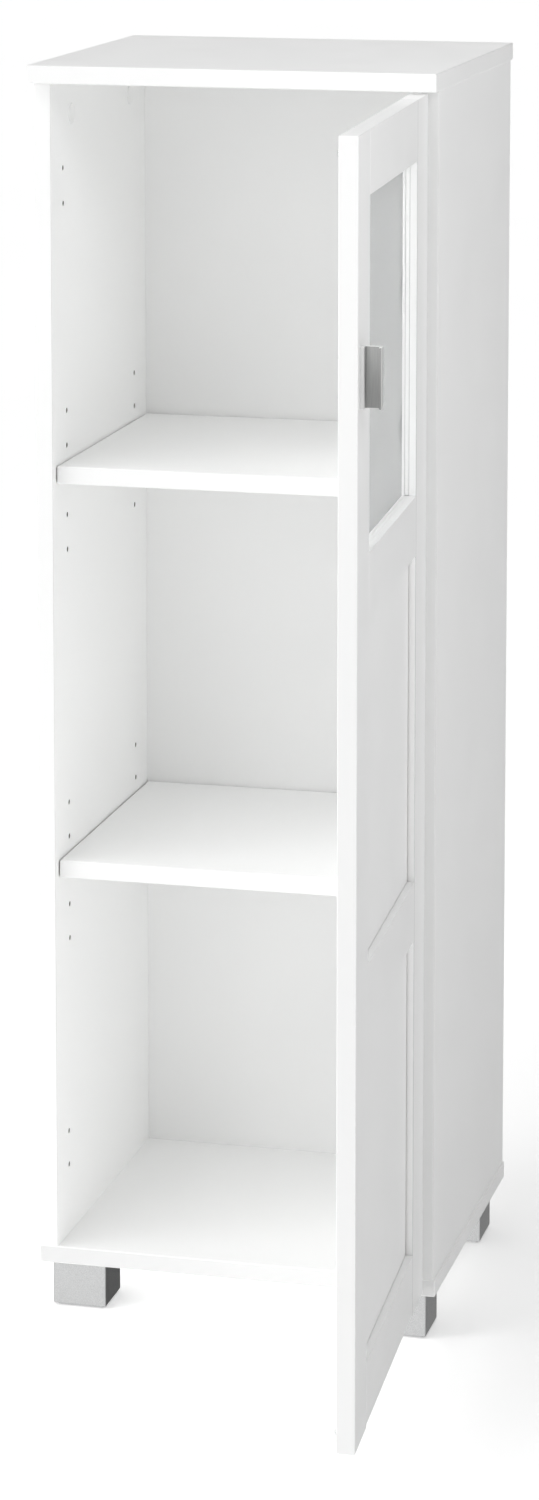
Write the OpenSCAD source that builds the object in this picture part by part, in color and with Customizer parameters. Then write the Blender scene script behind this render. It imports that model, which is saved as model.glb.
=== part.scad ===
// Tall bathroom cabinet on four square feet, with two loose shelves and one door that hangs
// on two concealed cup hinges. The door stands open, as in use.

/* [Carcass] */
// Width over the two side panels
carcass_w = 368; // [330:1:440]
// Depth of the side panels
side_d = 328; // [300:1:400]
// Height from the floor to the top surface
total_h = 1150; // [1120:1:1300]
// Thickness of the sides, top, base and shelves
board_t = 16; // [15:0.5:19]
// Overhang of the top beyond each side panel
top_over_side = 1.5; // [0:0.5:6]
// Overhang of the top behind the side panels
top_over_back = 3; // [0:0.5:10]
// Overhang of the base beyond each side panel
base_over_side = 1.5; // [0:0.5:6]
// Width of the small bevel on the board edges
board_bevel = 0.8; // [0.3:0.1:1.5]

/* [Back panel] */
// Thickness of the back panel
back_t = 3; // [2.5:0.1:5]
// Distance from the back panel's rear face to the rear edge of the sides
back_inset = 16; // [10:0.5:24]
// Depth of the groove that holds the back panel
back_groove = 6; // [4:0.5:8]

/* [Feet] */
// Height of the feet
foot_h = 44; // [35:1:70]
// Side of the square foot
foot_w = 50; // [44:1:60]
// Distance from the base's side edge to a foot
foot_side_inset = 10; // [6:1:30]
// Distance from the base's front edge to the front feet
foot_front_inset = 9; // [0:1:30]
// Distance from the base's rear edge to the rear feet
foot_rear_inset = 19; // [0:1:40]
// Bevel around the bottom of a foot
foot_bevel = 1.2; // [0.4:0.1:2.5]
// Wall of the hollow foot
foot_wall = 3; // [2:0.5:5]

/* [Shelves] */
// Height of the lower row of pin holes above the base board
lower_row = 344; // [300:1:400]
// Height of the upper row of pin holes above the base board
upper_row = 708; // [660:1:740]
// Distance from the front edge of the sides to a shelf
shelf_setback = 9; // [4:0.5:30]
// Gap between a shelf and each side panel
shelf_side_gap = 1; // [0.5:0.1:2]
// Gap between a shelf and the back panel
shelf_back_gap = 2; // [0.5:0.1:10]

/* [Shelf pins] */
// Radius of a pin hole
pin_hole_r = 2.5; // [2:0.1:3.5]
// Depth of a pin hole
pin_hole_deep = 10; // [8:0.5:12]
// Spacing of the pin holes up the side
pin_pitch = 32; // [25:1:35]
// Number of holes in a group, the middle one level with the row
pin_holes = 5; // [3:2:7]
// Distance from the front edge of the sides to the front column of holes
pin_front = 44; // [30:1:60]
// Distance between the front and the rear column of holes
pin_span = 224; // [180:1:235]
// Radius of the part of a pin that carries the shelf
pin_head_r = 3.5; // [3:0.1:4.5]
// Length of the part of a pin that carries the shelf
pin_head_long = 8; // [5:0.5:12]
// Height of the pin's flat above its axis
pin_flat = 2.5; // [2:0.1:2.8]

/* [Door] */
// Thickness of the door frame
door_t = 16; // [15.5:0.5:19]
// Gap between the closed door and the side panels
door_gap = 3; // [2:0.5:4]
// Distance from the outside of the carcass in to the door's side edge
door_side_reveal = 1; // [0.5:0.5:2]
// Gap between the door and the top board
door_top_gap = 2.5; // [1.5:0.5:5]
// Distance from the base's underside up to the door
door_base_rise = 4; // [0:0.5:10]
// Width of the stiles
stile_w = 58; // [54:1:66]
// Height of the top rail and the two middle rails
rail_h = 53; // [48:1:60]
// Height of the bottom rail
bottom_rail_h = 54.5; // [48:0.5:62]
// Height of the bottom rail above the ends of the stiles
bottom_rail_rise = 2.5; // [0:0.5:4]
// Height of the glazed opening
window_h = 290.5; // [260:0.5:310]
// Height of the middle opening
middle_h = 290; // [260:0.5:310]
// Width of the small bevel on the edges of the stiles and rails
frame_bevel = 0.5; // [0.2:0.1:0.8]
// Angle at which the door stands open
open_angle = 93.4; // [80:0.1:100]

/* [Door panels] */
// Thickness of the panels, and of the tongues on the rails
panel_t = 4; // [3:0.1:5]
// Depth of the panels behind the frame's outer face
panel_recess = 6.4; // [5:0.1:7]
// Depth of the grooves in the stiles and rails
groove_deep = 8; // [6:0.5:9]
// Distance that a panel or tongue stops short of the groove's bottom
groove_spare = 0.4; // [0.2:0.1:1]

/* [Glass] */
// Thickness of the glass
glass_t = 3; // [2.5:0.1:3.6]
// Depth of the rebate that holds the glass
rebate_deep = 3.2; // [3:0.1:3.8]
// Width of the rebate that holds the glass
rebate_w = 8; // [6:0.5:9]
// Length of a glass clip
clip_long = 24; // [16:1:30]
// Distance that a clip reaches over the frame, from the opening's edge
clip_reach = 18; // [17:0.5:22]
// Distance from the opening's edge to the clip's other end, over the glass
clip_start = 3; // [1:0.5:4]
// Thickness of a clip
clip_t = 1.2; // [0.8:0.1:1.5]
// Distance from the opening's edge to a clip's screw
clip_screw_in = 13; // [12:0.5:14]
// Distance from the middle of a rail to its clips
clip_rail_out = 70; // [30:1:90]
// Height of the lower stile clips above the window's bottom
clip_low = 60; // [20:1:90]
// Height of the upper stile clips above the window's bottom
clip_high = 185; // [130:1:195]

/* [Hinges] */
// Distance from the door's ends to the hinges
hinge_end = 94; // [80:1:120]
// Distance from the side panel's inner face to the arm's pivot
arm_pivot_in = 11.84; // [11.4:0.02:12.2]
// Distance from the side panel's front edge to the arm's pivot
arm_pivot_back = 8; // [7.8:0.1:9]
// Distance from the door's edge to the cup's pivot
cup_pivot_edge = 9; // [8.8:0.1:9.2]
// Depth of the cup's pivot behind the door's inner face
cup_pivot_deep = 3; // [2.8:0.1:3.2]
// Part of the door's turn that the link makes the other way
link_share = 0.38; // [0.36:0.01:0.4]
// Thickness of the bent link
link_t = 1.8; // [1.4:0.1:2]
// Width of the link
link_w = 7; // [6:0.1:7.2]
// Radius of the eyes at the link's ends
link_eye_r = 2.5; // [2.2:0.1:2.8]
// Radius of the two pivot pins
pivot_pin_r = 1.25; // [1:0.05:1.4]
// Radius of the hinge cup
cup_r = 17.5; // [17:0.1:18]
// Depth of the hinge cup
cup_deep = 12; // [11.5:0.1:12.8]
// Wall of the hinge cup
cup_wall = 0.8; // [0.6:0.1:1]
// Distance from the door's edge to the middle of the cup
cup_edge = 22.5; // [22:0.1:23.5]
// Thickness of the cup's flange
flange_t = 1.2; // [0.8:0.1:1.6]
// Distance from the middle of the cup to its two screws, up and down
cup_screw_z = 22.5; // [21.5:0.5:25]
// Distance from the middle of the cup to its screws, away from the door's edge
cup_screw_x = 9.5; // [7:0.5:11]

/* [Hinge arms and plates] */
// Thickness of the arm's sheet
arm_t = 1.2; // [1:0.1:1.4]
// Inner width of the arm's channel
arm_inner_w = 7.6; // [7.4:0.1:8.4]
// Height of the arm's web above the side panel
arm_rise = 16.5; // [16.2:0.1:17.5]
// Distance from the side panel's front edge to the arm's web
arm_front = 12; // [11.5:0.5:14]
// Distance from the side panel's front edge to the arm's rear end
arm_rear = 62; // [58:1:70]
// Height of the plate's saddle, which carries the arm
saddle_h = 7.5; // [6.5:0.1:8]
// Width of the plate's saddle
saddle_w = 12; // [11:0.5:14]
// Distance from the side panel's front edge to the saddle
saddle_front = 16; // [14:1:20]
// Distance from the side panel's front edge to the plate's screws
plate_screw_back = 37; // [34:1:39]
// Distance between the plate's two screws
plate_screw_span = 32; // [30:1:36]
// Radius of the holes in the plate's wings, which leave the plate room to be set
wing_hole_r = 2.7; // [2.6:0.1:3]
// Thickness of the plate's wings
wing_t = 2.5; // [2:0.1:3]
// Width of the plate's wings
wing_w = 12; // [10:0.5:14]
// Length over the plate's two wings
wing_long = 46; // [43:1:52]
// Distance from the side panel's front edge to the arm's front screw
arm_screw_front = 28; // [25:1:31]
// Distance between the arm's two screws
arm_screw_span = 22; // [18:1:24]

/* [Handle] */
// Height of the handle
handle_h = 50; // [44:1:120]
// Distance that the handle stands out from the door
handle_reach = 17.5; // [14:0.5:30]
// Depth of the handle's lip and foot, across the stile
handle_deep = 10; // [9.6:0.2:16]
// Thickness of the handle's web and lip
handle_wall = 2; // [1.5:0.1:3]
// Thickness of the handle's foot
handle_foot_t = 3.5; // [3:0.1:5]
// Distance from the door's free edge to the handle
handle_edge = 8; // [5:0.5:20]
// Distance from the door's top down to the handle
handle_drop = 168.5; // [100:0.5:300]
// Distance between the handle's two screws
handle_screw_span = 32; // [24:1:34]
// Radius of the handle's screws
handle_screw_r = 2; // [1.5:0.1:2.5]

/* [Buffers] */
// Radius of a door buffer
buffer_r = 3.2; // [2.5:0.1:3.4]
// Gap between a buffer and the side panel when the door is shut
buffer_gap = 0.3; // [0.2:0.1:0.8]
// Distance from the door's free edge to a buffer's middle
buffer_edge = 10.8; // [10:0.1:11]
// Distance from the door's ends to a buffer's middle
buffer_end = 15; // [10:1:40]

/* [Carcass fittings] */
// Distance from the end of a side panel to a cam's middle
cam_drop = 34; // [30:0.5:38]
// Radius of a cam
cam_r = 7.4; // [7:0.1:8]
// Length of a cam
cam_long = 12; // [11:0.1:12.5]
// Distance from the side panel's front edge to the front cam
cam_front = 64; // [60:1:75]
// Distance between the front and the rear cam
cam_span = 192; // [150:1:200]
// Radius of a cam's cover
cover_r = 9.5; // [9:0.1:12]
// Thickness of a cam's cover
cover_t = 1.2; // [0.8:0.1:2]
// Radius of a cam bolt
cam_bolt_r = 2.5; // [2:0.1:3]
// Length of the cam bolt's thread in the top board
cam_bolt_in = 11; // [8:0.5:12]
// Radius of a wood dowel
dowel_r = 4; // [3:0.1:4.5]
// Length of a wood dowel in the top or base board
dowel_in = 10; // [8:0.5:11]
// Length of a wood dowel in a side panel
dowel_up = 20; // [15:1:25]
// Distance from the side panel's front edge to the front dowel
dowel_front = 32; // [22:1:45]
// Distance between the front and the rear dowel
dowel_span = 256; // [215:1:262]
// Radius of a base screw
base_screw_r = 3.4; // [2.5:0.1:3.5]
// Radius of a base screw's head
base_head_r = 5; // [4.5:0.1:5.5]
// Length of a base screw
base_screw_long = 50; // [40:1:70]
// Distance from the side panel's front edge to the front base screw
base_screw_front = 96; // [80:1:120]
// Distance between the front and the rear base screw
base_screw_span = 128; // [80:1:150]
// Radius of a foot's screw
foot_screw_r = 2; // [1.6:0.1:2.4]
// Length of a foot's screw in the base board
foot_screw_in = 11; // [8:0.5:12]
// Distance from the foot's middle to its screws, both ways
foot_screw_out = 11; // [9:0.5:12]

/* [Hidden] */
$fn = 48;

// Clearances
fit = 0.05;       // round a pin, dowel or screw in its hole
slide_fit = 0.1;  // on each face of a panel or tongue in its groove
glass_play = 0.4; // round the edge of the glass in its rebate
end_play = 0.5;   // past the end of a bolt, pin or dowel in a blind hole
cut = 1;          // how far a cutting solid runs past the face that it opens

// Carcass, with x = 0 on its middle plane and y = 0 on the front edge of the sides
side_out = carcass_w / 2;
side_in = side_out - board_t;
side_mid = side_out - board_t / 2;
base_top = foot_h + board_t;
top_under = total_h - board_t;
back_rear = side_d - back_inset;
back_front = back_rear - back_t;
foot_mid_x = side_out + base_over_side - foot_side_inset - foot_w / 2;
foot_front_y = foot_front_inset + foot_w / 2;
foot_rear_y = side_d - foot_rear_inset - foot_w / 2;
foot_bridge = 10;      // thickness of the foot under its screws' heads' seats
foot_head_r = 4;
foot_head_t = 2.4;
foot_bore_r = foot_head_r + 1;    // of the bore that lets a screw's head in from below
foot_column_r = foot_bore_r + 1;  // of the column round that bore
pin_columns = [pin_front, pin_front + pin_span];
cams = [cam_front, cam_front + cam_span];
dowels = [dowel_front, dowel_front + dowel_span];
base_screws_y = [base_screw_front, base_screw_front + base_screw_span];
cam_head_rim = 0.9;    // of the bolt's head and collar round its shank
cam_head_play = 0.4;   // round the bolt's head in its bore
cam_head_r = cam_bolt_r + cam_head_rim;
cam_head_t = 4;
cam_bolt_bore = cam_head_r + cam_head_play;
cover_stem_r = 2.4;
cover_stem_long = 4;
base_head_t = 3.5;

// Door, shut
door_in = -door_gap;
door_out = door_in - door_t;
door_edge = side_out - door_side_reveal;
door_bottom = foot_h + door_base_rise;
door_top = top_under - door_top_gap;
opening_x = door_edge - stile_w;
window_top = door_top - rail_h;
window_bottom = window_top - window_h;
middle_top = window_bottom - rail_h;
middle_bottom = middle_top - middle_h;
lower_top = middle_bottom - rail_h;
lower_bottom = door_bottom + bottom_rail_rise + bottom_rail_h;
panel_front = door_out + panel_recess;
tongue = groove_deep - groove_spare;
glass_front = door_in - rebate_deep;
glass_in = rebate_w - glass_play;
handle_x = -door_edge + handle_edge;
handle_mid_z = door_top - handle_drop - handle_h / 2;
handle_screw_x = handle_x + handle_deep / 2;
handle_screw_skin = 0.4;  // metal left in front of a handle's screw
handle_screw_bite = handle_foot_t - handle_screw_skin;
handle_head_r = 3.5;
handle_head_t = 2;
clip_spots = [
  for (side = [-1, 1]) for (up = [clip_low, clip_high])
    [side * opening_x, window_bottom + up, side > 0 ? 0 : 180],
  for (x = [-clip_rail_out, clip_rail_out]) [x, window_top, 90],
  for (x = [-clip_rail_out, clip_rail_out]) [x, window_bottom, -90]
];
clip_screw_r = 1.25;
clip_screw_long = 9;
clip_head_r = 2.8;
clip_head_t = 1.3;

// Hinges
hinges = [door_bottom + hinge_end, door_top - hinge_end];
arm_pivot = [side_in - arm_pivot_in, arm_pivot_back];
cup_pivot = [door_edge - cup_pivot_edge, door_in - cup_pivot_deep];
link_turn = -link_share * open_angle;
rest_pivot = arm_pivot + turn(cup_pivot - arm_pivot, link_turn);
link_reach = norm(cup_pivot - arm_pivot);
link_aim = atan2(rest_pivot[1] - arm_pivot[1], rest_pivot[0] - arm_pivot[0]);
// Bends of the link, from its arm eye to its cup eye, as parts of its reach
link_bends = [[0, 0], [0.21, -0.225], [0.6, -0.37], [0.9, -0.39], [1, 0]] * link_reach;
cup_x = door_edge - cup_edge;
link_play = 0.5;  // between the link and each lug
lug_gap = link_w / 2 + link_play;
lug_t = 2.4;
lug_reach = [10.5, 15.4];
lug_top = 0.8;
ear_r = 3.5;
arm_half = arm_inner_w / 2 + arm_t;
flange_rim = 1.5;
flange_r = cup_r + flange_rim;
flange_bar = 7;  // half the width of the bar across the flange, which holds the two screws
flange_tip = 6;  // length of that bar past a screw
cup_screw_r = 1.6;
cup_screw_long = 11;
cup_head_r = 3.2;
cup_head_t = 1.5;
plate_screw_r = 2.4;
plate_screw_long = 13;
plate_head_r = 4;
plate_head_t = 1.8;
arm_screws_y = [arm_screw_front, arm_screw_front + arm_screw_span];
arm_screw_r = 1.9;
arm_screw_long = 14;
arm_head_r = 3.2;
arm_head_t = 1.5;

// The origin is under the middle of the whole part, on the floor
reach_right = swung([handle_x, door_out - handle_reach])[0];
reach_front = swung([-door_edge, door_in - frame_bevel])[1];
middle = [(reach_right - side_out - top_over_side) / 2, (reach_front + side_d + top_over_back) / 2];

function turn(p, a) = [p[0] * cos(a) - p[1] * sin(a), p[0] * sin(a) + p[1] * cos(a)];
function swung(p) = rest_pivot + turn(p - cup_pivot, open_angle);

// Corner of the bent link's outline at one of its five bends, on its left (s = 1) or right side
function leg(i) = link_bends[i + 1] - link_bends[i];
function leg_normal(i) = turn(leg(i), 90) / norm(leg(i));
function link_mitre(i) =
  i == 0 ? leg_normal(0) :
  i == 4 ? leg_normal(3) :
  (leg_normal(i - 1) + leg_normal(i)) / (1 + leg_normal(i - 1) * leg_normal(i));
function link_side(i, s) = link_bends[i] + link_mitre(i) * s * link_t / 2;

module in_place() {
  translate([-middle[0], -middle[1], 0]) children();
}

// Carries what is drawn on the shut door to where the open door stands
module on_door() {
  in_place()
    translate([rest_pivot[0], rest_pivot[1], 0])
      rotate([0, 0, open_angle])
        translate([-cup_pivot[0], -cup_pivot[1], 0])
          children();
}

module both_sides() {
  children();
  mirror([1, 0, 0]) children();
}

module eased_rect(w, h, c) {
  polygon([[c, 0], [w - c, 0], [w, c], [w, h - c], [w - c, h], [c, h], [0, h - c], [0, c]]);
}

// Block from one corner to the other, with all its edges bevelled
module eased_block(low, high, c) {
  size = high - low;
  translate(low) intersection() {
    linear_extrude(size[2]) eased_rect(size[0], size[1], c);
    translate([0, size[1], 0]) rotate([90, 0, 0]) linear_extrude(size[1]) eased_rect(size[0], size[2], c);
    rotate([90, 0, 90]) linear_extrude(size[0]) eased_rect(size[1], size[2], c);
  }
}

module block(low, high) {
  translate(low) cube(high - low);
}

// Round bar from a point along +x, +y or +z; a negative length runs the other way
module bar_x(p, r, long) {
  translate([long < 0 ? p[0] + long : p[0], p[1], p[2]]) rotate([0, 90, 0]) cylinder(r = r, h = abs(long));
}
module bar_y(p, r, long) {
  translate([p[0], long < 0 ? p[1] : p[1] + long, p[2]]) rotate([90, 0, 0]) cylinder(r = r, h = abs(long));
}
module bar_z(p, r, long) {
  translate([p[0], p[1], long < 0 ? p[2] + long : p[2]]) cylinder(r = r, h = abs(long));
}

// Cuts shared by the side panels and the boards that they meet
module pin_hole_group(row) {
  lowest = base_top + row - (pin_holes - 1) / 2 * pin_pitch;
  for (y = pin_columns, k = [0 : pin_holes - 1])
    bar_x([side_in - cut, y, lowest + k * pin_pitch], pin_hole_r, pin_hole_deep + cut);
}

module plate_holes() {
  deep = plate_screw_long - wing_t + end_play;
  for (z = hinges, s = [-1, 1])
    bar_x([side_in - cut, plate_screw_back, z + s * plate_screw_span / 2], plate_screw_r + fit, deep + cut);
}

module dowel_bars(play) {
  room = play * end_play;
  for (y = dowels, low = [top_under - dowel_up, base_top - dowel_in])
    bar_z([side_mid, y, low - room], dowel_r + play * fit, dowel_up + dowel_in + 2 * room);
}

module base_screw_bars(play) {
  for (y = base_screws_y) {
    bar_z([side_mid, y, foot_h - play * cut], base_screw_r + play * fit,
          base_screw_long + play * (cut + end_play));
    translate([side_mid, y, foot_h])
      cylinder(r1 = base_head_r + play * fit, r2 = base_screw_r + play * fit, h = base_head_t);
  }
}

module cam_bolt_bars(play) {
  for (y = cams)
    bar_z([side_mid, y, top_under - cut], cam_bolt_r + play * fit, cam_bolt_in + cut + play * end_play);
}

module back_grooves() {
  block([-side_in - back_groove, back_front - slide_fit, base_top - back_groove],
        [side_in + back_groove, back_rear + slide_fit, top_under + back_groove]);
}

module top_panel() {
  color("white") in_place() difference() {
    eased_block([-side_out - top_over_side, door_out, top_under],
                [side_out + top_over_side, side_d + top_over_back, total_h], board_bevel);
    both_sides() dowel_bars(1);
    both_sides() cam_bolt_bars(1);
    back_grooves();
  }
}

module base_panel() {
  color("white") in_place() difference() {
    eased_block([-side_out - base_over_side, 0, foot_h],
                [side_out + base_over_side, side_d, base_top], board_bevel);
    both_sides() dowel_bars(1);
    both_sides() base_screw_bars(1);
    for (foot = foot_spots) foot_screw_bars(foot, 1);
    back_grooves();
  }
}

// Right side panel; the left one is its mirror image, so the door can hang on either side
module side_panel() {
  difference() {
    translate([side_in, 0, base_top])
      linear_extrude(top_under - base_top) eased_rect(board_t, side_d, board_bevel);
    pin_hole_group(lower_row);
    pin_hole_group(upper_row);
    plate_holes();
    dowel_bars(1);
    base_screw_bars(1);
    for (y = cams) {
      bar_x([side_in - cut, y, top_under - cam_drop], cam_r + fit, cam_long + end_play + cut);
      bar_z([side_mid, y, top_under + cut], cam_bolt_bore, -cam_drop - cut);
    }
    back_grooves();
  }
}

module side_panel_left() {
  color("white") in_place() mirror([1, 0, 0]) side_panel();
}

module side_panel_right() {
  color("white") in_place() side_panel();
}

module back_panel() {
  reach = back_groove - end_play;
  color("whitesmoke") in_place()
    block([-side_in - reach, back_front, base_top - reach], [side_in + reach, back_rear, top_under + reach]);
}

// Cams that pull the top down on the side panels, each with its bolt and its cover
module cam_locks() {
  color("silver") in_place() both_sides() for (y = cams) difference() {
    bar_x([side_in + end_play / 2, y, top_under - cam_drop], cam_r, cam_long);
    bar_z([side_mid, y, top_under - cam_drop], cam_bolt_bore, cam_r + cut);
    bar_x([side_in - cut, y, top_under - cam_drop], cover_stem_r + fit, cover_stem_long + end_play + cut);
  }
}

module cam_covers() {
  color("white") in_place() both_sides() for (y = cams) {
    bar_x([side_in, y, top_under - cam_drop], cover_r, -cover_t);
    bar_x([side_in, y, top_under - cam_drop], cover_stem_r, cover_stem_long);
  }
}

module cam_bolts() {
  head_z = top_under - cam_drop + cam_bolt_bore + end_play;
  color("silver") in_place() both_sides() for (y = cams) {
    bar_z([side_mid, y, head_z], cam_bolt_r, top_under + cam_bolt_in - head_z);
    bar_z([side_mid, y, top_under], cam_head_r, -cam_head_t);
    bar_z([side_mid, y, head_z - cam_head_t + end_play], cam_head_r, cam_head_t);
  }
}

module wood_dowels() {
  color("burlywood") in_place() both_sides() dowel_bars(0);
}

module base_screws() {
  color("silver") in_place() both_sides() base_screw_bars(0);
}

// Feet
foot_spots = [
  for (y = [foot_front_y, foot_rear_y]) for (side = [-1, 1]) [side * foot_mid_x, y]
];

// Where a foot's two screws stand, on a diagonal of the foot
function foot_screw_spots(spot) = [for (s = [-1, 1]) spot + s * [foot_screw_out, foot_screw_out]];

module foot_screw_bars(spot, play) {
  for (p = foot_screw_spots(spot))
    bar_z([p[0], p[1], foot_h - foot_bridge], foot_screw_r + play * fit,
          foot_bridge + foot_screw_in + play * end_play);
}

// Hollow foot, closed below, with a column round each of its two screws
module foot(spot) {
  half = foot_w / 2;
  color("silver") in_place() difference() {
    union() {
      difference() {
        eased_foot(spot, half);
        block([spot[0] - half + foot_wall, spot[1] - half + foot_wall, foot_wall],
              [spot[0] + half - foot_wall, spot[1] + half - foot_wall, foot_h + cut]);
      }
      for (p = foot_screw_spots(spot))
        bar_z([p[0], p[1], foot_wall / 2], foot_column_r, foot_h - foot_wall / 2);
    }
    foot_screw_bars(spot, 1);
    for (p = foot_screw_spots(spot))
      bar_z([p[0], p[1], -cut], foot_bore_r, foot_h - foot_bridge + cut);
  }
}

// Square block whose edges are bevelled, except round the top, which meets the base
module eased_foot(spot, half) {
  intersection() {
    eased_block([spot[0] - half, spot[1] - half, 0],
                [spot[0] + half, spot[1] + half, foot_h + foot_w], foot_bevel);
    block([spot[0] - foot_w, spot[1] - foot_w, 0], [spot[0] + foot_w, spot[1] + foot_w, foot_h]);
  }
}

module foot_screws() {
  color("silver") in_place() for (spot = foot_spots) {
    foot_screw_bars(spot, 0);
    for (p = foot_screw_spots(spot))
      bar_z([p[0], p[1], foot_h - foot_bridge], foot_head_r, -foot_head_t);
  }
}

// Pins with a flat, on which a shelf lies
module shelf_pins(row) {
  z = base_top + row;
  color("silver") in_place() both_sides() for (y = pin_columns) {
    bar_x([side_in, y, z], pin_hole_r - fit, pin_hole_deep - end_play);
    intersection() {
      bar_x([side_in, y, z], pin_head_r, -pin_head_long);
      block([side_in - pin_head_long - cut, y - pin_head_r - cut, z - pin_head_r - cut],
            [side_in, y + pin_head_r + cut, z + pin_flat]);
    }
  }
}

module shelf(row) {
  z = base_top + row + pin_flat;
  color("white") in_place()
    eased_block([-side_in + shelf_side_gap, shelf_setback, z],
                [side_in - shelf_side_gap, back_front - shelf_back_gap, z + board_t], board_bevel);
}

// Door frame, drawn shut
module stile(side) {
  x = side > 0 ? opening_x : -door_edge;
  difference() {
    eased_block([x, door_out, door_bottom], [x + stile_w, door_in, door_top], frame_bevel);
    mirror([side > 0 ? 0 : 1, 0, 0]) {
      block([opening_x - cut, panel_front - slide_fit, door_bottom - cut],
            [opening_x + groove_deep, panel_front + panel_t + slide_fit, door_top + cut]);
      block([opening_x - cut, glass_front, window_bottom - rebate_w],
            [opening_x + rebate_w, door_in + cut, window_top + rebate_w]);
    }
    clip_screw_bars(1);
  }
}

// Rail with a tongue at each end. Its lower (-1) and upper (1) edges may have a groove, which
// holds a panel or a strip, and a rebate, which holds the glass.
module rail(low, high, grooves, rebates) {
  past = opening_x + groove_deep + cut;
  color("white") on_door() difference() {
    union() {
      eased_block([-opening_x, door_out, low], [opening_x, door_in, high], frame_bevel);
      block([-opening_x - tongue, panel_front, low], [opening_x + tongue, panel_front + panel_t, high]);
    }
    for (s = grooves)
      block([-past, panel_front - slide_fit, s > 0 ? high - groove_deep : low - cut],
            [past, panel_front + panel_t + slide_fit, s > 0 ? high + cut : low + groove_deep]);
    for (s = rebates)
      block([-past, glass_front, s > 0 ? high - rebate_w : low - cut],
            [past, door_in + cut, s > 0 ? high + cut : low + rebate_w]);
    clip_screw_bars(1);
  }
}

module door_rail_top() {
  rail(window_top, door_top, grooves = [-1], rebates = [-1]);
}

module door_rail_middle_upper() {
  rail(middle_top, window_bottom, grooves = [-1, 1], rebates = [1]);
}

module door_rail_middle_lower() {
  rail(lower_top, middle_bottom, grooves = [-1, 1], rebates = []);
}

module door_rail_bottom() {
  rail(lower_bottom - bottom_rail_h, lower_bottom, grooves = [1], rebates = []);
}

module door_stile_free() {
  color("white") on_door() difference() {
    stile(-1);
    handle_screw_bars(1);
  }
}

module door_stile_hinge() {
  color("white") on_door() difference() {
    stile(1);
    for (z = hinges) {
      bar_y([cup_x, door_in + cut, z], cup_r + fit, -cup_deep - cut - slide_fit);
      cup_screw_bars(z, 1);
    }
  }
}

module door_panel(low, high) {
  color("white") on_door()
    block([-opening_x - tongue, panel_front, low - tongue],
          [opening_x + tongue, panel_front + panel_t, high + tongue]);
}

module door_glass() {
  color("gainsboro", 0.6) on_door()
    block([-opening_x - glass_in, glass_front, window_bottom - glass_in],
          [opening_x + glass_in, glass_front + glass_t, window_top + glass_in]);
}

// Strips that fill the grooves round the window
module glass_strips() {
  rear = panel_front + panel_t;
  color("white") on_door() {
    both_sides()
      block([opening_x, panel_front, window_bottom + slide_fit],
            [opening_x + tongue, rear, window_top - slide_fit]);
    for (low = [window_top, window_bottom - tongue])
      block([-opening_x + slide_fit, panel_front, low], [opening_x - slide_fit, rear, low + tongue]);
  }
}

// Where a clip's screw meets the clip's outer face
function clip_screw_spot(spot) =
  [spot[0] + clip_screw_in * cos(spot[2]), door_in + clip_t, spot[1] + clip_screw_in * sin(spot[2])];

module clip_screw_bars(play) {
  for (spot = clip_spots)
    bar_y(clip_screw_spot(spot), clip_screw_r + play * fit, -clip_t - clip_screw_long - play * end_play);
}

module glass_clips() {
  color("silver") on_door() difference() {
    for (spot = clip_spots)
      translate([spot[0], door_in, spot[1]]) rotate([0, -spot[2], 0])
        block([clip_start, 0, -clip_long / 2], [clip_reach, clip_t, clip_long / 2]);
    clip_screw_bars(1);
  }
}

module clip_screws() {
  color("silver") on_door() {
    clip_screw_bars(0);
    for (spot = clip_spots) bar_y(clip_screw_spot(spot), clip_head_r, clip_head_t);
  }
}

// Handle, a channel that is open towards the door's free edge
module door_handle() {
  rear = handle_x + handle_deep;
  low = handle_mid_z - handle_h / 2;
  color("silver") on_door() difference() {
    translate([0, 0, low]) linear_extrude(handle_h) difference() {
      translate([handle_x, door_out - handle_reach]) square([handle_deep, handle_reach]);
      translate([handle_x - cut, door_out - handle_reach + handle_wall])
        square([handle_deep - handle_wall + cut, handle_reach - handle_wall - handle_foot_t]);
    }
    handle_screw_bars(1);
  }
}

handle_screw_spots = [
  for (s = [-1, 1]) [handle_screw_x, door_in, handle_mid_z + s * handle_screw_span / 2]
];

module handle_screw_bars(play) {
  for (spot = handle_screw_spots)
    bar_y(spot, handle_screw_r + play * fit, -door_t - handle_screw_bite - play * fit);
}

module handle_screws() {
  color("silver") on_door() {
    handle_screw_bars(0);
    for (spot = handle_screw_spots) bar_y(spot, handle_head_r, handle_head_t);
  }
}

module door_buffers() {
  color("gainsboro") on_door() for (z = [door_bottom + buffer_end, door_top - buffer_end])
    bar_y([-door_edge + buffer_edge, door_in, z], buffer_r, door_gap - buffer_gap);
}

// Hinge cups in the door, with the lugs that hold the cup pins
module hinge_cups() {
  color("silver") on_door() for (z = hinges) difference() {
    translate([cup_x, door_in, z]) rotate([90, 0, 0]) {
      difference() {
        union() {
          cylinder(r = cup_r, h = cup_deep);
          translate([0, 0, -flange_t]) cylinder(r = flange_r, h = flange_t);
          block([-cup_screw_x - flange_bar, -cup_screw_z - flange_tip, -flange_t],
                [-cup_screw_x + flange_bar, cup_screw_z + flange_tip, 0]);
        }
        translate([0, 0, -flange_t - cut])
          cylinder(r = cup_r - cup_wall, h = cup_deep + flange_t + cut - cup_wall);
      }
      for (s = [-1, 1])
        block([lug_reach[0], s > 0 ? lug_gap : -lug_gap - lug_t, lug_top],
              [lug_reach[1], s > 0 ? lug_gap + lug_t : -lug_gap, cup_deep - cup_wall / 2]);
    }
    bar_z([cup_pivot[0], cup_pivot[1], z - cup_r], pivot_pin_r + fit, 2 * cup_r);
    cup_screw_bars(z, 1);
  }
}

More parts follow.
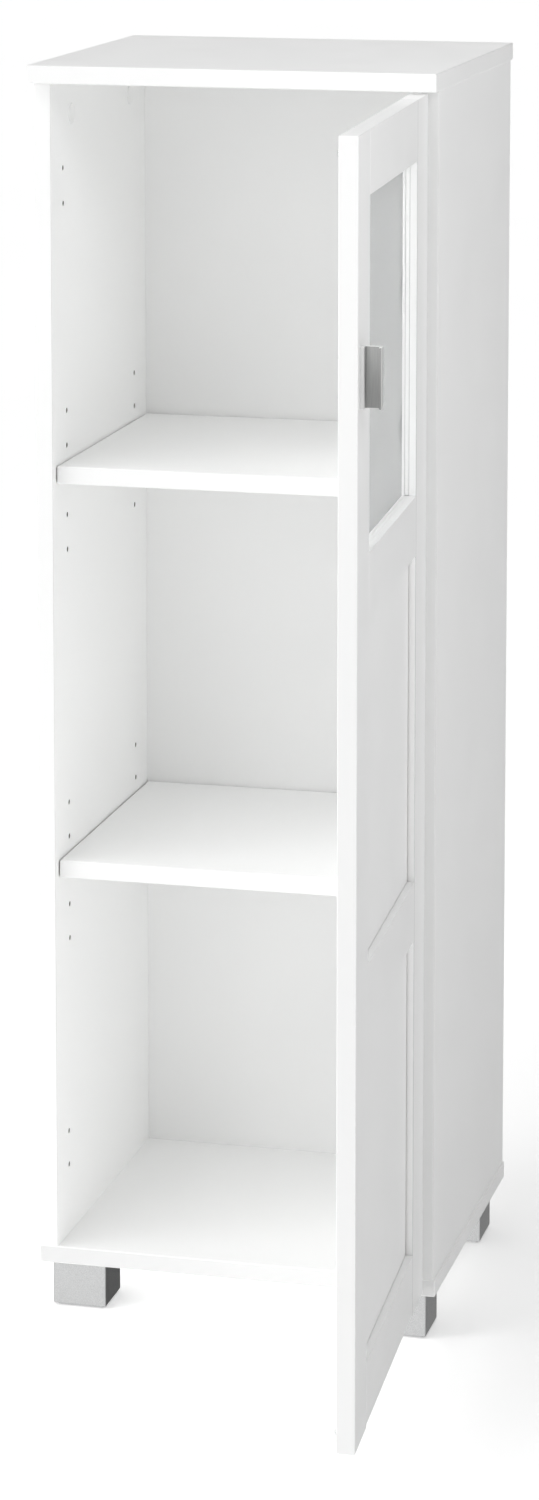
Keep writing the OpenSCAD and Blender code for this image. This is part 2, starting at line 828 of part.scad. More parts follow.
module cup_screw_bars(z, play) {
  for (s = [-1, 1])
    bar_y([cup_x - cup_screw_x, door_in + flange_t, z + s * cup_screw_z],
          cup_screw_r + play * fit, -flange_t - cup_screw_long - play * end_play);
}

module cup_screws() {
  color("silver") on_door() for (z = hinges) {
    cup_screw_bars(z, 0);
    for (s = [-1, 1])
      bar_y([cup_x - cup_screw_x, door_in + flange_t, z + s * cup_screw_z], cup_head_r, cup_head_t);
  }
}

module cup_pins() {
  half = lug_gap + lug_t;
  color("dimgray") on_door() for (z = hinges)
    bar_z([cup_pivot[0], cup_pivot[1], z - half], pivot_pin_r, 2 * half);
}

// Bent links, between the arm pins and the cup pins
module hinge_links() {
  color("silver") in_place() for (z = hinges)
    translate([arm_pivot[0], arm_pivot[1], z - link_w / 2]) rotate([0, 0, link_aim])
      linear_extrude(link_w) difference() {
        union() {
          polygon([for (i = [0 : 4]) link_side(i, 1), for (i = [4 : -1 : 0]) link_side(i, -1)]);
          circle(r = link_eye_r);
          translate([link_reach, 0]) circle(r = link_eye_r);
        }
        circle(r = pivot_pin_r + fit);
        translate([link_reach, 0]) circle(r = pivot_pin_r + fit);
      }
}

// Arms, channels that lie on the plates' saddles and carry the links
module hinge_arms() {
  web_x = side_in - arm_rise;
  color("silver") in_place() for (z = hinges) difference() {
    union() {
      block([web_x, arm_front, z - arm_half], [web_x + arm_t, arm_rear, z + arm_half]);
      for (low = [-arm_half, arm_inner_w / 2])
        translate([0, 0, z + low]) linear_extrude(arm_t) {
          translate([web_x, arm_front]) square([arm_rise - saddle_h, arm_rear - arm_front]);
          translate(arm_pivot) circle(r = ear_r);
          translate([arm_pivot[0] - ear_r, arm_pivot[1]]) square([2 * ear_r, arm_front - arm_pivot[1] + cut]);
        }
    }
    bar_z([arm_pivot[0], arm_pivot[1], z - arm_half - cut], pivot_pin_r + fit, 2 * (arm_half + cut));
    for (y = arm_screws_y) bar_x([web_x - cut, y, z], arm_screw_r + fit, arm_t + 2 * cut);
  }
}

module arm_pins() {
  color("dimgray") in_place() for (z = hinges)
    bar_z([arm_pivot[0], arm_pivot[1], z - arm_half], pivot_pin_r, 2 * arm_half);
}

module arm_screws() {
  web_x = side_in - arm_rise;
  color("silver") in_place() for (z = hinges, y = arm_screws_y) {
    bar_x([web_x, y, z], arm_screw_r, arm_screw_long);
    bar_x([web_x, y, z], arm_head_r, -arm_head_t);
  }
}

module hinge_plates() {
  color("silver") in_place() for (z = hinges) difference() {
    union() {
      block([side_in - saddle_h, saddle_front, z - saddle_w / 2], [side_in, arm_rear, z + saddle_w / 2]);
      block([side_in - wing_t, plate_screw_back - wing_w / 2, z - wing_long / 2],
            [side_in, plate_screw_back + wing_w / 2, z + wing_long / 2]);
    }
    for (y = arm_screws_y)
      bar_x([side_in - saddle_h - cut, y, z], arm_screw_r + fit,
            arm_screw_long - arm_rise + saddle_h + end_play + cut);
    for (s = [-1, 1])
      bar_x([side_in - wing_t - cut, plate_screw_back, z + s * plate_screw_span / 2],
            wing_hole_r, wing_t + 2 * cut);
  }
}

module plate_screws() {
  color("silver") in_place() for (z = hinges, s = [-1, 1]) {
    spot = [side_in - wing_t, plate_screw_back, z + s * plate_screw_span / 2];
    bar_x(spot, plate_screw_r, plate_screw_long);
    bar_x(spot, plate_head_r, -plate_head_t);
  }
}

top_panel();
base_panel();
side_panel_left();
side_panel_right();
back_panel();
cam_locks();
cam_covers();
cam_bolts();
wood_dowels();
base_screws();
shelf_pins(upper_row);  // shelf_pins_upper
shelf_pins(lower_row);  // shelf_pins_lower
shelf(upper_row);  // shelf_upper
shelf(lower_row);  // shelf_lower
foot(foot_spots[0]);  // foot_front_left
foot(foot_spots[1]);  // foot_front_right
foot(foot_spots[2]);  // foot_rear_left
foot(foot_spots[3]);  // foot_rear_right
foot_screws();
hinge_plates();
plate_screws();
hinge_arms();
arm_screws();
arm_pins();
hinge_links();
hinge_cups();
cup_screws();
cup_pins();
door_stile_free();
door_stile_hinge();
door_rail_top();
door_rail_middle_upper();
door_rail_middle_lower();
door_rail_bottom();
door_panel(middle_bottom, middle_top);  // door_panel_middle
door_panel(lower_bottom, lower_top);  // door_panel_bottom
door_glass();
glass_strips();
glass_clips();
clip_screws();
door_handle();
handle_screws();
door_buffers();
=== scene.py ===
"""Studio picture of a tall white bathroom cabinet that stands open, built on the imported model."""
import math

import bmesh
import bpy
from mathutils import Matrix, Vector


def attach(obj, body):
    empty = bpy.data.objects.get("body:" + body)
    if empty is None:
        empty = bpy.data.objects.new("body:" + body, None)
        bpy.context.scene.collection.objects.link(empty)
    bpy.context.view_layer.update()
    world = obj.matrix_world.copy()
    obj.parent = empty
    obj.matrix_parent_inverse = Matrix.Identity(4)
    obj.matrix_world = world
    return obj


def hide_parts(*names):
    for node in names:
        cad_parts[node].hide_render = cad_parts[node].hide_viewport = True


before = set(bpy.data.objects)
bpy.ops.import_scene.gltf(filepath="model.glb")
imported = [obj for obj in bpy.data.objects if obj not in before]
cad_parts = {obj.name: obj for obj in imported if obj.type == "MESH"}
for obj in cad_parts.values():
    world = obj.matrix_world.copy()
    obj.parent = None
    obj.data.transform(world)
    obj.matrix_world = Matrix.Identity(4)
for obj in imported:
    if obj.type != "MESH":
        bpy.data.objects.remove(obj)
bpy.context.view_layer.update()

# Pieces are shaped in millimetres and set down in metres
MM = 0.001
# Farther out than any piece, in millimetres
FAR = 5000
# A cutter reaches this far past what it cuts, in millimetres
PAST = 1
# Places that are closer than this count as the same, in millimetres
NEAR = 0.01
# The ways that the cabinet's own sides look. Along the door's turned axes REAR is its inner side
LEFT, RIGHT = (-1, 0, 0), (1, 0, 0)
FRONT, REAR = (0, -1, 0), (0, 1, 0)
DOWN, UP = (0, 0, -1), (0, 0, 1)
# The door stands open by this angle, so what is on it is placed along turned axes
OPEN_ANGLE = math.radians(93.4)
STILL = Matrix.Identity(4)
DOOR = Matrix.Rotation(OPEN_ANGLE, 4, "Z")


# Camera
def set_up_camera():
    """A long lens a little above the cabinet's top, to its right, looking down on it."""
    stand, dip, turn = (0.9333, -3.6369, 1.4774), 7.632, 14.051
    bpy.ops.object.camera_add(location=stand)
    camera = bpy.context.object
    camera.name = "camera"
    camera.rotation_euler = (math.radians(90 - dip), 0, math.radians(turn))
    camera.data.lens = 103.676
    camera.data.sensor_width = 36
    camera.data.shift_y = -0.32
    camera.data.clip_end = 200
    bpy.context.scene.camera = camera


# Light
def hang_light(kind, name, spot, target, strength):
    """A light that hangs at a spot and shines at its target."""
    bpy.ops.object.light_add(type=kind, location=spot)
    light = bpy.context.object
    light.name = name
    light.rotation_euler = (Vector(spot) - Vector(target)).to_track_quat("Z", "Y").to_euler()
    light.data.energy = strength
    return light


def set_up_light():
    """Broad lights from the left, above and in front, softboxes at the right, and a pale room."""
    scene = bpy.context.scene
    scene.view_settings.view_transform = "Standard"
    scene.cycles.diffuse_bounces = 8

    away, spread = 4, math.radians(30)
    for name, aim, strength in (
        ("left_light", (-0.85, -0.45, 0.35), 1.2),
        ("high_light", (-0.3, -0.55, 0.7), 0.56),
        ("front_light", (-0.2, -0.98, 0.2), 0.24),
    ):
        sun = hang_light("SUN", name, Vector(aim) * away, (0, 0, 0), strength)
        sun.data.angle = spread

    for name, spot, target, strength, wide, tall in (
        ("right_softbox", (0.8, -0.7, 1.7), (0, 0, 0.6), 3.3, 0.5, 0.5),
        ("side_strip", (1.1, -0.37, 0.8), (0.1, -0.3, 0.8), 1.15, 0.3, 1.5),
    ):
        lamp = hang_light("AREA", name, spot, target, strength)
        lamp.data.shape = "RECTANGLE"
        lamp.data.size, lamp.data.size_y = wide, tall
        lamp.visible_camera = lamp.visible_glossy = False
    light_room(scene)


def add_node(tree, kind, operation=None, **inputs):
    """A new node with its sockets set, or linked where a socket is given. _0 is the first one."""
    node = tree.nodes.new("ShaderNode" + kind)
    if operation:
        node.operation = operation
    for socket, value in inputs.items():
        number = socket[1:]
        target = node.inputs[int(number) if number.isdigit() else socket.replace("_", " ")]
        if isinstance(value, bpy.types.NodeSocket):
            tree.links.new(value, target)
        else:
            target.default_value = value
    return node


def slide(tree, value, start, end, low=0.0, high=1.0):
    """Slides from the low number to the high one as the value goes from start to end."""
    span = dict(From_Min=start, From_Max=end, To_Min=low, To_Max=high)
    return add_node(tree, "MapRange", Value=value, **span).outputs["Result"]


def light_room(scene):
    """A pale room all round. Polished surfaces mirror a bright front and ceiling, a darker rear."""
    room = bpy.data.worlds.new("pale_room")
    room.use_nodes = True
    tree = room.node_tree
    way = add_node(tree, "TexCoord").outputs["Generated"]

    soft = 0.07
    for side, strength in ((LEFT, 0.56), (UP, 0.26), (REAR, 0.66)):
        faced = add_node(tree, "VectorMath", "DOT_PRODUCT", _0=way, _1=side).outputs["Value"]
        lit = add_node(tree, "Math", "MAXIMUM", _0=faced, _1=0.0).outputs["Value"]
        summed = add_node(tree, "Math", "MULTIPLY_ADD", _0=lit, _1=strength, _2=soft)
        soft = summed.outputs["Value"]

    axes = add_node(tree, "SeparateXYZ", Vector=way).outputs
    walls = slide(tree, axes["Y"], -0.4, 0.5, low=0.8, high=0.2)
    ceiling = slide(tree, axes["Z"], 0.35, 0.8)
    mirrored = add_node(tree, "Math", "ADD", _0=walls, _1=ceiling).outputs["Value"]
    glossy = add_node(tree, "LightPath").outputs["Is Glossy Ray"]
    glow = add_node(tree, "Mix", Factor=glossy, A=soft, B=mirrored).outputs["Result"]
    backdrop = tree.nodes["Background"]
    backdrop.inputs["Color"].default_value = (1, 1, 1, 1)
    tree.links.new(glow, backdrop.inputs["Strength"])
    scene.world = room


def lay_floor():
    """A pale matt floor, wide enough to fill the picture."""
    bpy.ops.mesh.primitive_plane_add(size=120, location=(0, 0, 0))
    floor = bpy.context.object
    floor.name = "studio_floor"
    glow = dict(Emission_Color=(1, 1, 1, 1), Emission_Strength=0.24)
    paint = Finish("floor_paint", specular=0.1, Roughness=0.9, **glow)
    paint.colour(paint.noise(900), (0.955, 0.955, 0.955), (0.97, 0.97, 0.97))
    floor.data.materials.append(paint.material)
    floor.visible_glossy = False


# Finishes
class Finish:
    """A material built up from patterns on the piece's own coordinates."""

    # Nearly all of a cloudy pattern lies between these values
    LEAST, MOST = 0.3, 0.7
    # The numbers of a Mix node's sockets for colours
    BELOW, ABOVE, MIXED = 6, 7, 2

    def __init__(self, name, metallic=0.0, specular=0.5, **more):
        self.material = bpy.data.materials.new(name)
        self.material.use_nodes = True
        self.tree = self.material.node_tree
        self.shader = self.tree.nodes["Principled BSDF"]
        self.shader.inputs["Metallic"].default_value = metallic
        self.shader.inputs["Specular IOR Level"].default_value = specular
        for socket, value in more.items():
            self.shader.inputs[socket.replace("_", " ")].default_value = value
        self.place = self.tree.nodes.new("ShaderNodeTexCoord")

    def add(self, kind, operation=None, **inputs):
        """A new node among the material's own."""
        return add_node(self.tree, kind, operation, **inputs)

    def link(self, value, socket):
        """Leads a pattern or colour into a socket of the shader."""
        self.tree.links.new(value, self.shader.inputs[socket])

    def noise(self, size, detail=2.0, stretch=(1, 1, 1)):
        """Cloudy pattern, its features so many millimetres across and drawn out by the stretch."""
        squeeze = [1 / s for s in stretch]
        spot = self.add("Mapping", Vector=self.place.outputs["Object"], Scale=squeeze)
        cloud = dict(Scale=1 / (size * MM), Detail=detail)
        return self.add("TexNoise", Vector=spot.outputs["Vector"], **cloud).outputs["Fac"]

    def flakes(self, size):
        """Cells about so many millimetres across, each of its own grey."""
        scale = 1 / (size * MM)
        cells = self.add("TexVoronoi", Vector=self.place.outputs["Object"], Scale=scale)
        return self.add("SeparateColor", Color=cells.outputs["Color"]).outputs["Red"]

    def tone(self, pattern, low, high):
        """Colour that runs from one tone to the other along the pattern."""
        ramp = self.add("ValToRGB", Fac=pattern)
        start, end = ramp.color_ramp.elements
        start.position, start.color = self.LEAST, (*low, 1)
        end.position, end.color = self.MOST, (*high, 1)
        return ramp.outputs["Color"]

    def colour(self, pattern, low, high):
        """The tones are the whole surface's colour."""
        self.link(self.tone(pattern, low, high), "Base Color")

    def over(self, below, above, where):
        """The colour above laid over the one below, where the pattern says so."""
        node = self.add("Mix", Factor=where)
        node.data_type = "RGBA"
        self.tree.links.new(below, node.inputs[self.BELOW])
        self.tree.links.new(above, node.inputs[self.ABOVE])
        return node.outputs[self.MIXED]

    def along(self, vector, way):
        """How far the vector reaches along a direction."""
        return self.add("VectorMath", "DOT_PRODUCT", _0=vector, _1=way).outputs["Value"]

    def past(self, way, level):
        """Pattern that is one past a level along a direction, in millimetres, and else nought."""
        fade = 0.1
        reach = self.along(self.place.outputs["Object"], way)
        return slide(self.tree, reach, level * MM, (level + fade) * MM)

    def faced(self, way):
        """Pattern that is one where the surface faces the direction, and else nought."""
        start, full = 0.8, 0.95
        return slide(self.tree, self.along(self.place.outputs["Normal"], way), start, full)

    def either(self, *patterns, how="MAXIMUM"):
        """Pattern that is one where any of the patterns is."""
        joined = patterns[0]
        for pattern in patterns[1:]:
            joined = self.add("Math", how, _0=joined, _1=pattern).outputs["Value"]
        return joined

    def both(self, *patterns):
        """Pattern that is one where all of the patterns are."""
        return self.either(*patterns, how="MINIMUM")

    def none(self, *patterns):
        """Pattern that is one where none of the patterns is."""
        return self.add("Math", "SUBTRACT", _0=1.0, _1=self.either(*patterns)).outputs["Value"]

    def within(self, low, high, turn=STILL):
        """Pattern that is one inside a box in millimetres, deeper than its skin, else nought."""
        skin, outside = 0.4, []
        for axis, (start, end) in enumerate(zip(low, high)):
            way = turn.col[axis].xyz
            outside += [self.past(-way, -start - skin), self.past(way, end - skin)]
        return self.none(*outside)

    def sheen_range(self, pattern, low, high):
        """Roughness that runs from one value to the other along the pattern."""
        self.link(slide(self.tree, pattern, self.LEAST, self.MOST, low, high), "Roughness")

    def relief(self, pattern, height, strength):
        """Fine surface relief, so many millimetres high."""
        bump = self.add("Bump", Height=pattern, Distance=height * MM, Strength=strength)
        self.link(bump.outputs["Normal"], "Normal")


def make_finishes():
    """One finish for each of the cabinet's materials, and one for each board that needs its own."""
    made = {}

    def new(slot, **shader):
        """A finish that is kept under its slot's name."""
        made[slot] = Finish(slot, **shader)
        return made[slot]

    def board(slot, front_shade=0.9, bare_and_shade=None):
        """Melamine, an even white with a fine pearl, with painted shade that makes its front-facing
        faces a shade greyer.
        """
        white = new(slot, specular=0.4)
        cloud = white.noise(260)
        sheet = white.tone(cloud, (0.953, 0.955, 0.953), (0.964, 0.965, 0.961))
        pale_front_shade = (front_shade + 0.012, front_shade + 0.013, front_shade + 0.01)
        # Painted shade: the faces that look to the front take the greyer tone
        edge = white.tone(cloud, (front_shade, front_shade + 0.002, front_shade), pale_front_shade)
        face = white.over(sheet, edge, white.faced(FRONT))
        if bare_and_shade:
            # Bare chipboard, darkened as painted shade
            chips_and_shade = white.tone(white.noise(0.9, 4), (0.2, 0.185, 0.165), (0.36, 0.33, 0.29))
            face = white.over(face, chips_and_shade, bare_and_shade(white))
        white.link(face, "Base Color")
        white.sheen_range(white.noise(40, 4), 0.42, 0.5)
        white.relief(white.noise(1.1, 3), 0.012, 0.5)

    board("white_board")
    # Painted shade: the base panel's front is greyer still
    board("base_panel", 0.79)
    # The drilled holes and the shelves' ends show the bare chipboard, in a dark tone that is also
    # painted shade for the holes and the gaps beside the shelves
    # Painted shade: the right side panel's front, beside the open door, is greyer than the left's
    for side, front_shade in (("side_panel_left", 0.9), ("side_panel_right", 0.84)):
        board(side, front_shade, lambda white: white.within(*solids(side)[0]))
    for shelf in ("shelf_upper", "shelf_lower"):
        board(shelf, bare_and_shade=lambda white: white.either(white.faced(LEFT), white.faced(RIGHT)))

    # The thin back is duller and a shade greyer
    back = new("back_board", specular=0.3)
    back.colour(back.noise(180), (0.92, 0.922, 0.92), (0.934, 0.935, 0.931))
    back.sheen_range(back.noise(30, 4), 0.55, 0.66)
    back.relief(back.noise(0.8, 3), 0.015, 0.6)

    # White foil wrapped round the door's frame, with the faint waves of the fibre board below it
    foil = new("door_foil", specular=0.45)
    cloud = foil.noise(200)
    face = foil.tone(cloud, (0.955, 0.957, 0.956), (0.966, 0.967, 0.964))
    # Painted shade: the door's free edge takes a greyer tone than its faces
    edge = foil.tone(cloud, (0.88, 0.882, 0.881), (0.892, 0.893, 0.89))
    # The tone of the painted shade at the hinge stile's joint
    joint_shade_tone = foil.tone(cloud, (0.7, 0.702, 0.701), (0.74, 0.742, 0.74))
    across, skin = DOOR.col[0].xyz, 0.15
    free_side = solids("door_stile_free", DOOR)[0][0].x
    face = foil.over(face, edge, foil.past(-across, -free_side - skin))
    # Painted shade: the fine darker line at the joint between the rails and the hinge stile
    joint, on_rail, on_stile = solids("door_stile_hinge", DOOR)[0][0].x, 0.6, 1.4
    past_line = foil.past(across, joint + on_stile)
    off_line = foil.none(past_line, foil.faced(across), foil.faced(-across))
    joint_shade = foil.both(foil.past(across, joint - on_rail), off_line)
    foil.link(foil.over(face, joint_shade_tone, joint_shade), "Base Color")
    foil.sheen_range(foil.noise(25, 3), 0.34, 0.42)
    foil.relief(foil.noise(7, 2), 0.02, 0.4)

    # The panels' paint ends where they enter the frame, and bare fibre board shows in the gap
    panel = new("door_panel", specular=0.4)
    low, high = solids("door_panel_middle", DOOR)[0]
    gap = panel.within((-FAR, low.y, -FAR), (FAR, high.y, FAR), DOOR)
    paint = panel.tone(panel.noise(220), (0.95, 0.952, 0.95), (0.962, 0.963, 0.96))
    fibre = panel.tone(panel.noise(0.7, 3), (0.3, 0.26, 0.21), (0.4, 0.35, 0.29))
    panel.link(panel.over(paint, fibre, gap), "Base Color")
    panel.sheen_range(panel.noise(28, 3), 0.38, 0.46)
    panel.relief(panel.noise(5, 2), 0.016, 0.4)

    # Etched on one side, so it only lets soft light through
    glass = new("frosted_glass", specular=0.35, IOR=1.46, Transmission_Weight=0.93)
    glass.colour(glass.noise(300), (0.76, 0.766, 0.766), (0.77, 0.777, 0.776))
    glass.sheen_range(glass.noise(0.9, 3), 0.66, 0.7)
    glass.relief(glass.noise(0.5, 2), 0.004, 0.3)

    # Nickel-plated pressings, polished along their length
    hinge = new("hinge_steel", metallic=1.0)
    hinge.colour(hinge.noise(14, 3), (0.6, 0.59, 0.57), (0.72, 0.71, 0.68))
    hinge.sheen_range(hinge.noise(1.2, 4, (1, 8, 1)), 0.22, 0.34)
    hinge.relief(hinge.noise(0.6, 3, (1, 10, 1)), 0.006, 0.4)

    # Turned steel, with fine rings round it
    pivot = new("pivot_steel", metallic=1.0)
    pivot.colour(pivot.noise(3, 2), (0.46, 0.46, 0.47), (0.58, 0.58, 0.59))
    pivot.sheen_range(pivot.noise(0.5, 3, (1, 1, 0.2)), 0.2, 0.32)
    pivot.relief(pivot.noise(0.4, 2, (1, 1, 0.2)), 0.004, 0.5)

    # Zinc-plated screws, with the mottled tone of the bath they hung in
    screw = new("screw_steel", metallic=1.0)
    screw.colour(screw.noise(2.4, 4), (0.55, 0.56, 0.58), (0.7, 0.7, 0.69))
    screw.sheen_range(screw.noise(1.1, 4), 0.26, 0.42)
    screw.relief(screw.noise(0.5, 3), 0.008, 0.5)

    # Bright plated steel
    pin = new("pin_steel", metallic=1.0)
    pin.colour(pin.noise(2.2, 3), (0.6, 0.6, 0.6), (0.7, 0.7, 0.69))
    pin.sheen_range(pin.noise(0.7, 3), 0.2, 0.3)
    pin.relief(pin.noise(0.5, 2), 0.004, 0.4)

    # Die-cast zinc, grainy and dull
    cam = new("cam_zinc", metallic=1.0)
    cam.colour(cam.noise(1.6, 5), (0.42, 0.43, 0.44), (0.56, 0.56, 0.57))
    cam.sheen_range(cam.noise(0.8, 4), 0.45, 0.6)
    cam.relief(cam.noise(0.6, 4), 0.03, 0.7)

    # Moulded white plastic with a fine spark finish
    cover = new("cover_plastic", specular=0.45)
    cover.colour(cover.noise(9), (0.925, 0.927, 0.924), (0.94, 0.941, 0.937))
    cover.sheen_range(cover.noise(0.6, 4), 0.4, 0.52)
    cover.relief(cover.noise(0.35, 2), 0.01, 0.6)

    # Beech, with its grain along the dowel
    beech = new("beech_dowel", specular=0.3)
    beech.colour(beech.noise(1.1, 5, (1, 1, 9)), (0.42, 0.26, 0.13), (0.63, 0.43, 0.25))
    beech.sheen_range(beech.noise(0.8, 4, (1, 1, 6)), 0.6, 0.75)
    beech.relief(beech.noise(0.4, 4, (1, 1, 12)), 0.05, 0.7)

    # Silver lacquer with metal flakes in it, with painted shade darkening the feet's inner sides,
    # which face the dark underside of the cabinet
    silver = new("foot_silver", metallic=0.95)
    flakes = silver.flakes(0.35)
    full = silver.tone(flakes, (0.66, 0.665, 0.665), (0.78, 0.785, 0.785))
    shaded_silver = silver.tone(flakes, (0.24, 0.242, 0.242), (0.32, 0.322, 0.322))
    inner_side_shade = [
        silver.both(silver.faced(-Vector(side)), silver.past(side, middle))
        for side, middle in ((LEFT, -frame_middle), (RIGHT, frame_middle))
    ]
    silver.link(silver.over(full, shaded_silver, silver.either(*inner_side_shade)), "Base Color")
    silver.sheen_range(silver.noise(0.9, 3), 0.36, 0.46)
    silver.relief(silver.noise(0.5, 3), 0.006, 0.5)

    # Anodised aluminium: brushed pale on its outside and its sawn ends, and dull grey in the
    # channel, where the grey is painted shade
    handle = new("handle_aluminium")
    low, high = solids("door_handle", DOOR)[0]
    outward, up = -DOOR.col[1].xyz, Vector(UP)
    skin, fixed_wall = 0.35, 3.6
    in_front = handle.past(outward, -low.y - skin)
    face = handle.either(in_front, handle.past(-outward, high.y - fixed_wall))
    end = handle.either(handle.past(up, high.z - skin), handle.past(-up, -low.z - skin))
    grain = handle.noise(0.5, 4, (1, 1, 40))
    # Painted shade in the channel
    shaded_channel = handle.tone(grain, (0.28, 0.283, 0.28), (0.34, 0.343, 0.338))
    outside = handle.tone(grain, (0.68, 0.682, 0.678), (0.78, 0.782, 0.776))
    sawn = handle.tone(handle.noise(0.3, 3), (0.84, 0.842, 0.84), (0.92, 0.922, 0.918))
    handle.link(handle.over(handle.over(shaded_channel, outside, face), sawn, end), "Base Color")
    bright = handle.either(face, end)
    handle.link(slide(handle.tree, bright, 0, 1, low=1.0, high=0.25), "Metallic")
    handle.sheen_range(handle.noise(0.35, 4, (1, 1, 60)), 0.32, 0.44)
    handle.relief(handle.noise(0.25, 3, (1, 1, 60)), 0.006, 0.5)

    # Milky nylon
    clip = new("clip_plastic", specular=0.45, Transmission_Weight=0.25)
    clip.colour(clip.noise(6), (0.78, 0.79, 0.78), (0.84, 0.845, 0.835))
    clip.sheen_range(clip.noise(0.7, 4), 0.36, 0.5)
    clip.relief(clip.noise(0.4, 2), 0.008, 0.5)

    # Soft clear rubber
    buffer = new("buffer_rubber", specular=0.5, Transmission_Weight=0.55)
    buffer.colour(buffer.noise(3), (0.72, 0.73, 0.73), (0.8, 0.81, 0.81))
    buffer.sheen_range(buffer.noise(1.0, 3), 0.25, 0.38)
    buffer.relief(buffer.noise(0.8, 2), 0.01, 0.4)
    return {slot: finish.material for slot, finish in made.items()}


# Shaping
def nothing_selected():
    """Clears the selection, so that an operator acts on what is picked next."""
    bpy.ops.object.select_all(action="DESELECT")


def take(piece):
    """Makes the piece the only selected one."""
    nothing_selected()
    piece.select_set(True)
    bpy.context.view_layer.objects.active = piece


def middle_of(box):
    """The middle of a box that is given by its lowest and highest corner."""
    return (box[0] + box[1]) / 2


def block(low, high):
    """Block from one corner to the other."""
    nothing_selected()
    size = [b - a for a, b in zip(low, high)]
    middle = [(a + b) / 2 for a, b in zip(low, high)]
    bpy.ops.mesh.primitive_cube_add(size=1, location=middle, scale=size)
    bpy.ops.object.transform_apply()
    return bpy.context.object


def rod(foot, radius, long, facets=32):
    """Upright round bar, given by the middle of its lower end."""
    nothing_selected()
    x, y, z = foot
    middle = (x, y, z + long / 2)
    bpy.ops.mesh.primitive_cylinder_add(vertices=facets, radius=radius, depth=long, location=middle)
    bpy.ops.object.transform_apply()
    return bpy.context.object


def pick(kind, test):
    """Selects, in edit mode, the faces or edges that the test accepts."""
    bpy.ops.mesh.select_mode(type=kind)
    bpy.ops.mesh.select_all(action="DESELECT")
    mesh = bmesh.from_edit_mesh(bpy.context.object.data)
    for part in mesh.faces if kind == "FACE" else mesh.edges:
        part.select_set(bool(test(part)))
    bmesh.update_edit_mesh(bpy.context.object.data)


def faces_looking(direction):
    """Test for the faces that look one way."""
    aim, nearly = Vector(direction), 0.99
    return lambda face: face.normal.dot(aim) >= nearly


def edges_over(height):
    """Test for the edges that lie at a height or over it."""
    return lambda edge: all(end.co.z > height - NEAR for end in edge.verts)


def edges_under(height):
    """Test for the edges that lie at a height or under it."""
    return lambda edge: all(end.co.z < height + NEAR for end in edge.verts)


def level(edge):
    """Whether an edge runs level."""
    return abs(edge.verts[0].co.z - edge.verts[1].co.z) < NEAR


def upright(edge):
    """Whether an edge rises by more than the steps in a rounding do."""
    return abs(edge.verts[0].co.z - edge.verts[1].co.z) > 1


def shape(piece, *steps):
    """Runs the steps on the piece in edit mode."""
    take(piece)
    bpy.ops.object.mode_set(mode="EDIT")
    for step in steps:
        step()
    bpy.ops.object.mode_set(mode="OBJECT")


def ease(test, width, steps=3):
    """Step that rounds the edges that the test accepts."""

    def step():
        pick("EDGE", test)
        bpy.ops.mesh.bevel(offset=width, segments=steps, affect="EDGES", clamp_overlap=True)

    return step


def sink(test, border, depth=0):
    """Step that insets the faces that the test accepts, and draws them out by the depth."""

    def step():
        pick("FACE", test)
        bpy.ops.mesh.inset(thickness=border, depth=0)
        if depth:
            bpy.ops.mesh.extrude_region_shrink_fatten(TRANSFORM_OT_shrink_fatten={"value": depth})

    return step


def narrow(test, scale):
    """Step that shrinks the faces that the test accepts."""

    def step():
        pick("FACE", test)
        bpy.ops.transform.resize(value=(scale, scale, 1))

    return step


def merge(piece, other, how="UNION"):
    """Joins the other solid on to the piece, or cuts it out."""
    take(piece)
    joint = piece.modifiers.new("joint", "BOOLEAN")
    joint.operation = how
    joint.solver = "EXACT"
    joint.object = other
    bpy.ops.object.modifier_apply(modifier=joint.name)
    bpy.data.objects.remove(other, do_unlink=True)
    return piece


def carve(piece, cutter):
    """Takes the cutter's shape out of the piece."""
    return merge(piece, cutter, "DIFFERENCE")


def soften(piece, width, steps, angle):
    """Rounds every edge that turns by more than the angle."""
    take(piece)
    round_over = piece.modifiers.new("round_over", "BEVEL")
    round_over.width = width
    round_over.segments = steps
    round_over.limit_method = "ANGLE"
    round_over.angle_limit = math.radians(angle)
    bpy.ops.object.modifier_apply(modifier=round_over.name)


def solids(name, turn=STILL):
    """Lowest and highest corner of each solid of a node, in millimetres along the turned axes."""
    mesh = bmesh.new()
    mesh.from_mesh(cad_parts[name].data)
    bmesh.ops.transform(mesh, matrix=turn.inverted(), verts=mesh.verts)
    bmesh.ops.remove_doubles(mesh, verts=mesh.verts, dist=0.001 * MM)
    left, found = set(mesh.verts), []
    while left:
        reached, solid = [left.pop()], []
        while reached:
            corner = reached.pop()
            solid.append(corner.co / MM)
            for edge in corner.link_edges:
                other = edge.other_vert(corner)
                if other in left:
                    left.remove(other)
                    reached.append(other)
        found.append((Vector(map(min, zip(*solid))), Vector(map(max, zip(*solid)))))
    mesh.free()
    return sorted(found, key=lambda box: [round(value) for value in box[0]])


def facing(direction, spot, roll=0.0):
    """Place that turns a piece's +Z to the direction, with its origin at the spot."""
    aim = Vector(direction).to_track_quat("Z", "Y").to_matrix().to_4x4()
    return Matrix.Translation(spot) @ aim @ Matrix.Rotation(roll, 4, "Z")


